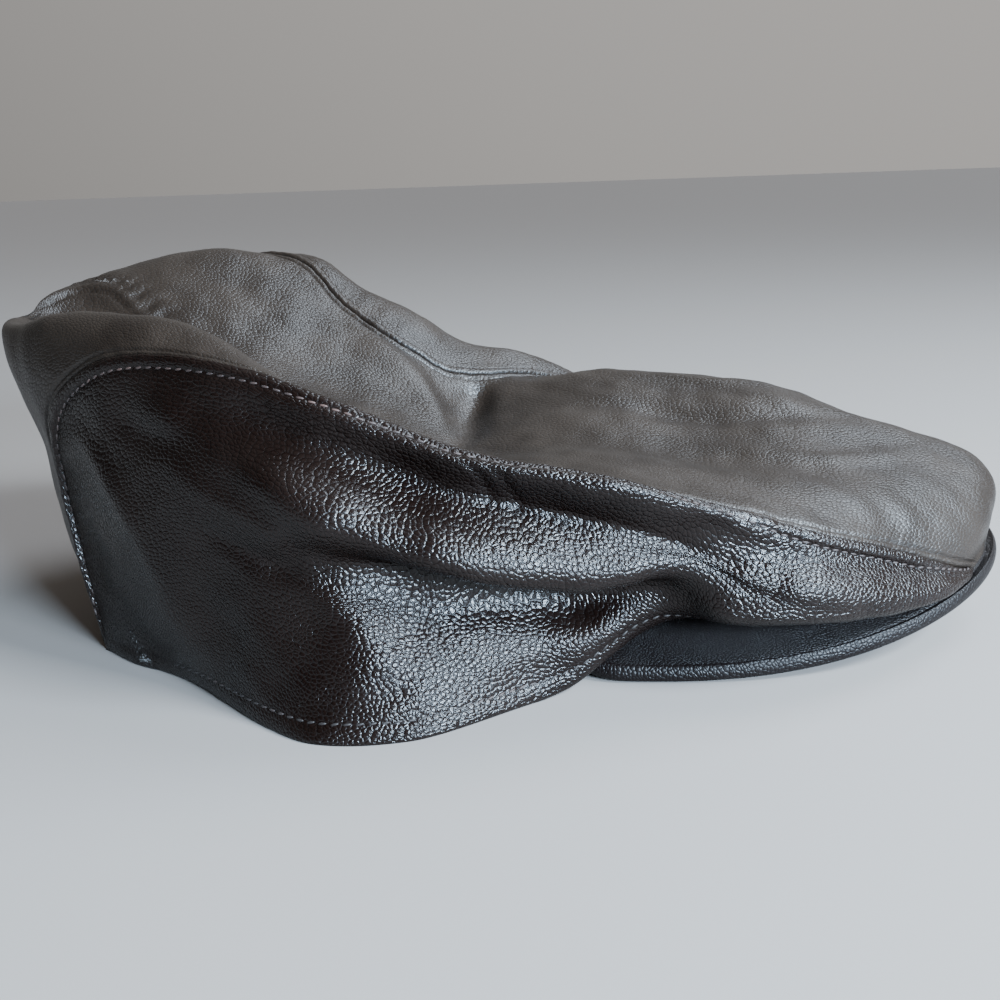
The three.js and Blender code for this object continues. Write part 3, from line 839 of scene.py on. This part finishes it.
top_panel = panel_object(top, "top_panel_leather")
right_panel = panel_object(right, "right_side_leather")
left_panel = panel_object(left, "left_side_leather")

# %% [markdown]
# The peak is leather drawn over a stiff board. Its rim is a round bead, with a fine
# groove inside it where the cover is pulled tight. One profile, from the inner edge
# over the top, round the bead and back below, is carried along the whole outline.

# %% The peak
PEAK_COLUMNS = 34
PEAK_ROWS = 241
FINER_OUTWARD = 1.5
BEAD_WIDTH = 2.8
BEAD_REACH = 1.5
BEAD_HEIGHT = 2.15
BEAD_STEPS = 13
BEAD_START = 0.30
BEAD_GROOVE = 0.5


def peak_profile():
    """Distance from the edge, and height over the board's middle, round the rim."""
    half = PEAK_THICKNESS / 2
    inward = np.linspace(1, 0, PEAK_COLUMNS)
    flat = BEAD_WIDTH + (PEAK_DEPTH - BEAD_WIDTH) * inward**FINER_OUTWARD
    upper = [(d, half - BEAD_GROOVE * bump_at(d, BEAD_WIDTH, GROOVE_WIDTH)) for d in flat]
    turn = np.linspace(BEAD_START, math.pi - BEAD_START, BEAD_STEPS)
    bead = [(BEAD_REACH - BEAD_REACH * math.sin(a), BEAD_HEIGHT * math.cos(a)) for a in turn]
    lower = [(d, -half) for d in flat[::-3]]
    return upper + bead + lower


def sleeve_faces(rows, columns):
    """Faces of a row of rings, closed at both ends."""
    index = np.arange(rows * columns).reshape(rows, columns)
    round_again = np.concatenate([index, index[:, :1]], axis=1)
    return quads(round_again) + [index[0].tolist(), index[-1][::-1].tolist()]


angles = np.linspace(-HORN_ANGLE, HORN_ANGLE, PEAK_ROWS)
edge = peak_edge(angles, PEAK_REACH, PEAK_WIDTH / 2)
start = peak_edge(angles, PEAK_REACH - PEAK_DEPTH, INNER_WIDTH * PEAK_WIDTH / 2)
reach = np.linalg.norm(edge - start, axis=-1, keepdims=True)
rings = []
for distance, height in peak_profile():
    share = distance * np.where(distance > BEAD_WIDTH, reach[:, 0] / PEAK_DEPTH, 1)
    at = edge - (edge - start) / reach * np.minimum(share, reach[:, 0])[:, None]
    middle = peak_top(at[:, 0], at[:, 1]) - PEAK_THICKNESS / 2
    rings.append(np.concatenate([at, (middle + height)[:, None]], axis=-1))
plate = np.stack(rings, axis=1)
peak = make_mesh("peak_leather", plate, sleeve_faces(*plate.shape[:2]))
round_the_edge = arc_lengths(edge[None])[0]
round_the_rim = arc_lengths(plate[len(plate) // 2][None])[0]
sheet = np.stack(np.broadcast_arrays(round_the_edge[:, None], round_the_rim[None]), axis=-1)
map_leather(peak, sheet.reshape(-1, 2))
merge_and_face_out(peak)

# %% [markdown]
# Stitches. Each is a short plump piece of thread, laid along a line on the leather.
# Hundreds of them are one Geometry Nodes tree: it walks the line, sets down a copy
# every few millimetres, turned to the line and to the way the leather faces.
# The lines come from the same grids as the leather, so the thread lies on it.


# %% The lines that the stitches follow
def stitch_path(name, points, normals):
    """A line of points on the leather, which remembers which way the leather faces."""
    mesh = bpy.data.meshes.new(name)
    edges = [(i, i + 1) for i in range(len(points) - 1)]
    mesh.from_pydata(to_metres(points).tolist(), edges, [])
    facing = mesh.attributes.new("facing", "FLOAT_VECTOR", "POINT")
    facing.data.foreach_set("vector", np.asarray(normals, float).ravel())
    return add(name, mesh)


def grid_line(panel, distance, from_edge, first, last):
    """The panel's grid line at a distance from an edge, between two stations."""
    column = int(np.argmin(np.abs(panel[from_edge][ROWS // 2] - distance)))
    keep = (stations >= first) & (stations <= last)
    return panel["outer"][keep, column], panel["facing"][keep, column]


# %% [markdown]
# The tree takes a line and gives its thread. Pitch is the way from one stitch to
# the next, and each stitch lies a little askew, as sewn ones do, by a random turn
# with a fixed seed. It ends in Realize Instances, which makes the copies real mesh.

# %% The stitch tree
STITCH_SIZES = {"Pitch": 2.9 * MM, "Length": 2.1 * MM, "Thickness": 0.62 * MM}
LEAST_SLANT = 0.05
MOST_SLANT = 0.28


def stitch_tree(name, material):
    tree = bpy.data.node_groups.new(name, "GeometryNodeTree")
    face = tree.interface
    face.new_socket("Geometry", in_out="INPUT", socket_type="NodeSocketGeometry")
    for title, value in STITCH_SIZES.items():
        face.new_socket(title, in_out="INPUT", socket_type="NodeSocketFloat").default_value = value
    face.new_socket("Seed", in_out="INPUT", socket_type="NodeSocketInt").default_value = 1
    face.new_socket("Geometry", in_out="OUTPUT", socket_type="NodeSocketGeometry")
    new, link = tree.nodes.new, tree.links.new
    inputs, outputs = new("NodeGroupInput"), new("NodeGroupOutput")
    path = new("GeometryNodeMeshToCurve")
    walk = new("GeometryNodeResampleCurve")
    walk.mode = "LENGTH"
    link(inputs.outputs["Geometry"], path.inputs["Mesh"])
    link(path.outputs["Curve"], walk.inputs["Curve"])
    link(inputs.outputs["Pitch"], walk.inputs["Length"])
    # One stitch: a small ball, drawn out to its length.
    ball = new("GeometryNodeMeshUVSphere")
    ball.inputs["Segments"].default_value = 8
    ball.inputs["Rings"].default_value = 6
    ball.inputs["Radius"].default_value = 0.5
    # It is turned to the line first and to the leather after that.
    tangent = new("GeometryNodeInputTangent")
    facing = new("GeometryNodeInputNamedAttribute")
    facing.data_type = "FLOAT_VECTOR"
    facing.inputs["Name"].default_value = "facing"
    align = new("FunctionNodeAxesToRotation")
    align.primary_axis = "Z"
    align.secondary_axis = "X"
    link(facing.outputs["Attribute"], align.inputs["Primary Axis"])
    link(tangent.outputs["Tangent"], align.inputs["Secondary Axis"])
    slant = new("FunctionNodeRandomValue")
    slant.data_type = "FLOAT"
    slant.inputs["Min"].default_value = LEAST_SLANT
    slant.inputs["Max"].default_value = MOST_SLANT
    link(inputs.outputs["Seed"], slant.inputs["Seed"])
    twist = new("ShaderNodeCombineXYZ")
    link(slant.outputs[1], twist.inputs["Z"])
    turn = new("FunctionNodeRotateRotation")
    turn.rotation_space = "LOCAL"
    link(align.outputs["Rotation"], turn.inputs["Rotation"])
    link(twist.outputs["Vector"], turn.inputs["Rotate By"])
    size = new("ShaderNodeCombineXYZ")
    link(inputs.outputs["Length"], size.inputs["X"])
    link(inputs.outputs["Thickness"], size.inputs["Y"])
    link(inputs.outputs["Thickness"], size.inputs["Z"])
    place = new("GeometryNodeInstanceOnPoints")
    link(walk.outputs["Curve"], place.inputs["Points"])
    link(ball.outputs["Mesh"], place.inputs["Instance"])
    link(turn.outputs["Rotation"], place.inputs["Rotation"])
    link(size.outputs["Vector"], place.inputs["Scale"])
    real = new("GeometryNodeRealizeInstances")
    paint = new("GeometryNodeSetMaterial")
    paint.inputs["Material"].default_value = material
    link(place.outputs["Instances"], real.inputs["Geometry"])
    link(real.outputs["Geometry"], paint.inputs["Geometry"])
    link(paint.outputs["Geometry"], outputs.inputs["Geometry"])
    return tree


def lay_stitches(path, tree, name, **sizes):
    """Runs the tree on a line and keeps the result as a plain mesh."""
    modifier = path.modifiers.new("stitches", "NODES")
    modifier.node_group = tree
    for item in tree.interface.items_tree:
        if item.in_out == "INPUT" and item.name in sizes:
            modifier[item.identifier] = sizes[item.name]
    bpy.context.view_layer.update()
    evaluated = path.evaluated_get(bpy.context.evaluated_depsgraph_get())
    mesh = bpy.data.meshes.new_from_object(evaluated)
    mesh.name = name
    bpy.data.objects.remove(path)
    mesh.polygons.foreach_set("use_smooth", [True] * len(mesh.polygons))
    print(name, "faces", len(mesh.polygons))
    return add(name, mesh)


# %% [markdown]
# The materials are node trees too. A few short words make their nodes and join them,
# so that each finish below reads as a recipe.


# %% Material helpers
def new_material(name):
    material = bpy.data.materials.new(name)
    material.use_nodes = True
    material.node_tree.nodes.clear()
    return material


class Wiring:
    """Short words for making and joining the nodes of a material or of the sky."""

    def __init__(self, owner):
        self.tree = owner.node_tree

    def node(self, kind, **settings):
        made = self.tree.nodes.new(kind)
        for key, value in settings.items():
            setattr(made, key, value)
        return made

    def link(self, output, socket):
        self.tree.links.new(output, socket)

    def math(self, operation, first, second=None, third=None):
        made = self.node("ShaderNodeMath", operation=operation)
        for socket, value in zip(made.inputs, (first, second, third)):
            if value is None:
                continue
            if hasattr(value, "node"):
                self.link(value, socket)
            else:
                socket.default_value = value
        return made.outputs[0]

    def ramp(self, value, low, high, to_low=0.0, to_high=1.0, kind="SMOOTHSTEP"):
        made = self.node("ShaderNodeMapRange", interpolation_type=kind)
        self.link(value, made.inputs["Value"])
        ends = {"From Min": low, "From Max": high, "To Min": to_low, "To Max": to_high}
        for title, number in ends.items():
            made.inputs[title].default_value = number
        return made.outputs["Result"]

    def scaled(self, vector, scale):
        made = self.node("ShaderNodeVectorMath", operation="MULTIPLY")
        self.link(vector, made.inputs[0])
        made.inputs[1].default_value = scale
        return made.outputs["Vector"]

    def noise(self, place, scale, detail, output="Fac"):
        made = self.node("ShaderNodeTexNoise")
        made.inputs["Scale"].default_value = scale
        made.inputs["Detail"].default_value = detail
        self.link(place, made.inputs["Vector"])
        return made.outputs[output]

    def bump(self, height, strength, distance):
        made = self.node("ShaderNodeBump")
        made.inputs["Strength"].default_value = strength
        made.inputs["Distance"].default_value = distance
        self.link(height, made.inputs["Height"])
        return made.outputs["Normal"]

    def pebbles(self, place, scale, feature):
        made = self.node("ShaderNodeTexVoronoi", feature=feature, voronoi_dimensions="2D")
        made.inputs["Scale"].default_value = scale
        self.link(place, made.inputs["Vector"])
        return made.outputs["Distance"]

    def mix(self, share, first, second):
        made = self.node("ShaderNodeMix", data_type="RGBA")
        self.link(share, made.inputs[0])
        for socket, value in ((made.inputs[6], first), (made.inputs[7], second)):
            if hasattr(value, "node"):
                self.link(value, socket)
            else:
                socket.default_value = (*value, 1)
        return made.outputs[2]


# %% [markdown]
# Leather. The grain is a fine net of creases round small soft pebbles. A Voronoi
# pattern gives both: the way to a cell's edge draws the creases, and the way to its
# middle rounds the pebble. It is laid on the leather's own map, so it follows the
# folds. A finer net and a fine noise roughen the pebbles.
# The finish is a dark dye that has worn lighter in places. Its colour is darker in the
# creases, which is painted shade: the creases of the grain as if in shadow.
# The top and the sides are one leather in lit and shaded copies. The sides' colour is
# darker, painted shade for the near side that lies in its own shade, and the top's is
# lighter and browner. The top is also duller, and the sides are glossier.

# %% The leather
WARP = 2.2
CREASE_WIDTH = 0.12
PAINTED_CREASE_SHADE = 0.55
CREASE_DULL = 0.14
MOST_WORN = 0.7


def leather(name, deep, worn, roughness, grain, stretch, relief_mm, shine):
    """Pebbled leather. Colours are linear, and grain is a pebble's width in mm."""
    material = new_material(name)
    w = Wiring(material)
    sheet = w.node("ShaderNodeUVMap", uv_map="leather").outputs["UV"]
    space = w.node("ShaderNodeTexCoord").outputs["Object"]
    spot = w.scaled(space, (1 / MM, 1 / MM, 1 / MM))
    flat = w.scaled(sheet, (MAP_UNIT / stretch, MAP_UNIT, MAP_UNIT))
    # A slow warp keeps the pebbles from lining up.
    shifted = w.node("ShaderNodeVectorMath", operation="MULTIPLY_ADD")
    w.link(w.noise(spot, 0.07, 1, "Color"), shifted.inputs[0])
    shifted.inputs[1].default_value = (WARP, WARP, WARP)
    w.link(flat, shifted.inputs[2])
    warped = shifted.outputs["Vector"]
    edges = w.pebbles(warped, 1 / grain, "DISTANCE_TO_EDGE")
    middles = w.pebbles(warped, 1 / grain, "F1")
    small = w.pebbles(warped, 2.3 / grain, "DISTANCE_TO_EDGE")
    slow = w.noise(spot, 0.05, 4)
    fine = w.noise(spot, 2.6, 3)
    shoulder = w.ramp(edges, 0.0, 0.30, 0.0, 0.45)
    dome = w.math("MULTIPLY_ADD", w.math("MULTIPLY", middles, middles), -1.0, shoulder)
    rough = w.math("MULTIPLY_ADD", w.ramp(small, 0.0, 0.3), 0.12, w.math("MULTIPLY", fine, 0.15))
    relief = w.bump(w.math("ADD", dome, rough), 1.0, relief_mm * MM)
    patchy = w.ramp(slow, 0.35, 0.68)
    dye = w.mix(w.math("MULTIPLY", patchy, MOST_WORN), deep, worn)
    # Painted shade: the colour darkens in the grain's creases, as if they lay in shadow.
    crease = w.ramp(edges, 0.0, CREASE_WIDTH, PAINTED_CREASE_SHADE, 1.0)
    shade = w.node("ShaderNodeMix", data_type="RGBA", blend_type="MULTIPLY")
    shade.inputs[0].default_value = 1
    w.link(dye, shade.inputs[6])
    w.link(crease, shade.inputs[7])
    # Dirt and wax dull the creases, so only the pebbles' tops shine.
    in_crease = w.ramp(edges, 0.0, CREASE_WIDTH, 1.0, 0.0)
    dull = w.math("MULTIPLY_ADD", in_crease, CREASE_DULL, roughness - 0.08)
    gloss = w.math("MULTIPLY_ADD", patchy, 0.06, w.math("MULTIPLY_ADD", fine, 0.10, dull))
    surface = w.node("ShaderNodeBsdfPrincipled")
    surface.inputs["Specular IOR Level"].default_value = shine
    w.link(shade.outputs[2], surface.inputs["Base Color"])
    w.link(gloss, surface.inputs["Roughness"])
    w.link(relief, surface.inputs["Normal"])
    w.link(surface.outputs["BSDF"], w.node("ShaderNodeOutputMaterial").inputs["Surface"])
    return material


top_leather = leather(
    "top_leather", deep=(0.0085, 0.0052, 0.0034), worn=(0.019, 0.0125, 0.0085),
    roughness=0.38, grain=1.05, stretch=1.2, relief_mm=0.10, shine=0.37)
# Painted shade: the sides' copy is darker than the top's, for the near side in its own shade.
side_leather = leather(
    "side_leather", deep=(0.0034, 0.0015, 0.0011), worn=(0.0068, 0.0038, 0.0030),
    roughness=0.22, grain=0.98, stretch=1.3, relief_mm=0.15, shine=0.27)
# Painted shade: the peak's copy is darker as well, for the peak in shade under the crown's hem.
shaded_peak_cover = leather(
    "peak_cover_leather", deep=(0.0035, 0.0022, 0.0022), worn=(0.0065, 0.0048, 0.0046),
    roughness=0.36, grain=0.95, stretch=1.0, relief_mm=0.11, shine=0.16)
for finish in (top_leather, side_leather, shaded_peak_cover):
    print(finish.name, "nodes", len(finish.node_tree.nodes))

# %% [markdown]
# Thread. It is brown, twisted and rubbed pale in places, where the leather beside it
# has worn too. The thread of the hems is darker than that of the seams.

# %% Thread
WORN_THREAD = 3.2


def thread(name, colour):
    material = new_material(name)
    w = Wiring(material)
    place = w.node("ShaderNodeTexCoord").outputs["Object"]
    relief = w.bump(w.noise(place, 5200, 2), 0.5, 0.1 * MM)
    pale = tuple(WORN_THREAD * c for c in colour)
    tint = w.mix(w.ramp(w.noise(place, 45, 3), 0.48, 0.68), colour, pale)
    surface = w.node("ShaderNodeBsdfPrincipled")
    surface.inputs["Roughness"].default_value = 0.6
    surface.inputs["Sheen Weight"].default_value = 0.05
    w.link(tint, surface.inputs["Base Color"])
    w.link(relief, surface.inputs["Normal"])
    w.link(surface.outputs["BSDF"], w.node("ShaderNodeOutputMaterial").inputs["Surface"])
    return material


brown_thread = thread("brown_thread", (0.019, 0.0095, 0.0070))
hem_thread = thread("hem_thread", (0.009, 0.0055, 0.0045))
print("threads", brown_thread.name, hem_thread.name)

# %% [markdown]
# Now the leather goes on the pieces and the thread on its lines. Of the left side
# only a ridge shows beside the top panel. It wears the top's lit copy of the leather,
# as it faces up into the light as the top does.
# The rows of stitches stop where a panel gets too narrow to be sewn twice.

# %% Dress the pieces
SEAM_SEWN = (0.5, 13.6)
HEM_SEWN = (3.0, 12.0)

# The left side takes the top's lit copy, and the right side the shaded copy.
for obj, material in ((top_panel, top_leather), (right_panel, side_leather),
                      (left_panel, top_leather), (peak, shaded_peak_cover)):
    obj.data.materials.append(material)

seam_tree = stitch_tree("seam_stitches", brown_thread)
hem_tree = stitch_tree("hem_stitches", hem_thread)
stitches = {}
for row, tree, distance, from_edge, sewn in (("seam", seam_tree, BAND_WIDTH, "from_first", SEAM_SEWN),
                                             ("hem", hem_tree, HEM_LINE, "from_last", HEM_SEWN)):
    for panel in (right, left):
        name = panel["name"] + "_" + row + "_stitches"
        path = stitch_path(name + "_line", *grid_line(panel, distance, from_edge, *sewn))
        stitches[name] = lay_stitches(path, tree, name, Seed=len(stitches))

# %% [markdown]
# Every piece takes the place of its plain solid and rides on the one body that the
# cap is.

# %% Seat the pieces on the frame
for obj, node, slot in ((top_panel, "top_panel", "top_leather"),
                        (right_panel, "side_panel_right", "right_side_leather"),
                        (left_panel, "side_panel_left", "left_side_leather"),
                        (peak, "peak", "peak_leather")):
    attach(obj, "root")
    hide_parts(node)
for name, obj in stitches.items():
    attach(obj, "root")
print("pieces on the frame", 4 + len(stitches))

# %% [markdown]
# The studio. The floor is one plain pale sheet, large enough to reach the horizon, so
# that the eye finds no edge in it. It is a little warm, because the light is cool.

# %% Floor
bpy.ops.mesh.primitive_plane_add(size=60, location=(0, 0, 0))
floor = bpy.context.object
floor.name = "studio_floor"
floor_finish = new_material("pale_floor")
w = Wiring(floor_finish)
paper = w.node("ShaderNodeBsdfPrincipled")
paper.inputs["Base Color"].default_value = (0.235, 0.212, 0.195, 1)
paper.inputs["Roughness"].default_value = 0.9
w.link(paper.outputs["BSDF"], w.node("ShaderNodeOutputMaterial").inputs["Surface"])
floor.data.materials.append(floor_finish)
print(floor.name, "metres wide", floor.dimensions.x)

# %% [markdown]
# Leather shows its form by what it mirrors. Two soft cool windows stand in front, on
# the camera's right, one high and one low, each where a fold of the photograph has
# its highlight. A lamp shines along its own -Z, so that axis is turned to the cap.

# %% Windows
LIT = (0, 0, 0.03)


def lamp(name, kind, power, colour, towards):
    obj = add(name, bpy.data.lights.new(name, kind))
    obj.data.energy = power
    obj.data.color = colour
    obj.rotation_euler = towards.to_track_quat("-Z", "Y").to_euler()
    print(name, "strength", power)
    return obj


def window(name, place, size, power, colour):
    obj = lamp(name, "AREA", power, colour, Vector(LIT) - Vector(place))
    obj.data.shape = "RECTANGLE"
    obj.data.size, obj.data.size_y = size
    obj.location = place


window("window_front_right", (0.79, -0.33, 0.69), (0.30, 0.30), 40, (0.72, 0.86, 1.0))
window("low_window", (0.64, -0.72, 0.32), (0.34, 0.22), 62, (0.60, 0.79, 1.0))

# %% [markdown]
# Soft daylight falls from high up behind the cap, on the right, and lights the floor
# out to the horizon. The sky is brightest on that side too and almost dark on the
# camera's side, because the near side of the cap is nearly black in its own shade.

# %% Daylight
SKY_BRIGHT_TOWARDS = (0.45, 0.60, 0.55)

daylight = lamp("daylight", "SUN", 3.6, (0.76, 0.87, 1.0), Vector((-0.47, -0.39, -0.79)))
daylight.data.angle = math.radians(30)

world = bpy.data.worlds.new("studio_sky")
bpy.context.scene.world = world
world.use_nodes = True
w = Wiring(world)
facing = w.node("ShaderNodeVectorMath", operation="DOT_PRODUCT")
w.link(w.node("ShaderNodeTexCoord").outputs["Generated"], facing.inputs[0])
facing.inputs[1].default_value = SKY_BRIGHT_TOWARDS
sky = world.node_tree.nodes["Background"]
sky.inputs["Color"].default_value = (1, 0.96, 0.92, 1)
w.link(w.ramp(facing.outputs["Value"], -0.5, 0.9, 0.02, 0.52, "LINEAR"), sky.inputs["Strength"])
print(world.name, "brightest towards", SKY_BRIGHT_TOWARDS)

# %% [markdown]
# The camera looks at the cap's right side, from a little ahead and above, as the
# photograph does, and it is held a little askew. Its place was solved from the
# outline of the cap. The focal length is a share of the picture's width.

# %% Camera
SENSOR_WIDTH = 36
FOCAL_SHARE = 1.08
LOOKED_AT = (-4.5, -1.1, 27.2)
CAMERA_DISTANCE = 329

turn, tilt, roll = math.radians(6.0), math.radians(16.5), math.radians(-2.0)
away = Vector((math.sin(turn) * math.cos(tilt), -math.cos(turn) * math.cos(tilt), math.sin(tilt)))
rightward = Vector((math.cos(turn), math.sin(turn), 0))
upward = away.cross(rightward)
right_rolled = rightward * math.cos(roll) + upward * math.sin(roll)
up_rolled = upward * math.cos(roll) - rightward * math.sin(roll)
lens = bpy.data.cameras.new("camera")
lens.sensor_width = SENSOR_WIDTH
lens.lens = FOCAL_SHARE * SENSOR_WIDTH
lens.clip_start = 0.01
camera = add("camera", lens)
eye = (Vector((frame_shift, 0, 0)) + Vector(LOOKED_AT) + CAMERA_DISTANCE * away) * MM
facing_cap = Matrix((right_rolled, up_rolled, away)).transposed().to_4x4()
camera.matrix_world = Matrix.Translation(eye) @ facing_cap
bpy.context.scene.camera = camera
print("camera at", tuple(round(value, 3) for value in eye))
